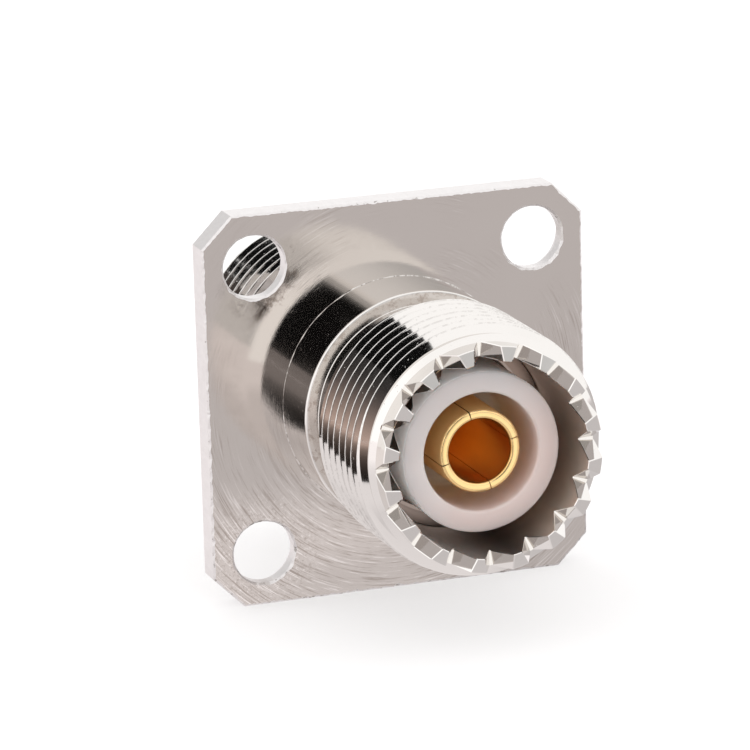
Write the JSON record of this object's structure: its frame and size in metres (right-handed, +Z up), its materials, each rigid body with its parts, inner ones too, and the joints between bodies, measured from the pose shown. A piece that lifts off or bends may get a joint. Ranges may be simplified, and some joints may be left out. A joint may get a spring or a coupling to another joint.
{
  "type": "uhf adapter",
  "caption": "Panel-mount coaxial adapter: square flange with threaded, toothed socket barrels facing both ways along one axis.",
  "frame": {"origin": "on the barrel axis, in the plane of the flange's front face", "axes": "-Y along the barrel axis out of the front socket, X across the flange to the right, +Z up along the flange"},
  "size_m": [0.025, 0.0358, 0.025],
  "materials": {
    "nickel_plate": "bright nickel plate over turned brass",
    "white_plastic": "smooth satin",
    "gold_plate": "gold plate"
  },
  "bodies": {
    "root": {"body": "nickel_plate", "front_retaining_ring": "nickel_plate", "rear_retaining_ring": "nickel_plate", "front_insulator": "white_plastic", "rear_insulator": "white_plastic", "centre_contact": "gold_plate"}
  },
  "joints": []
}
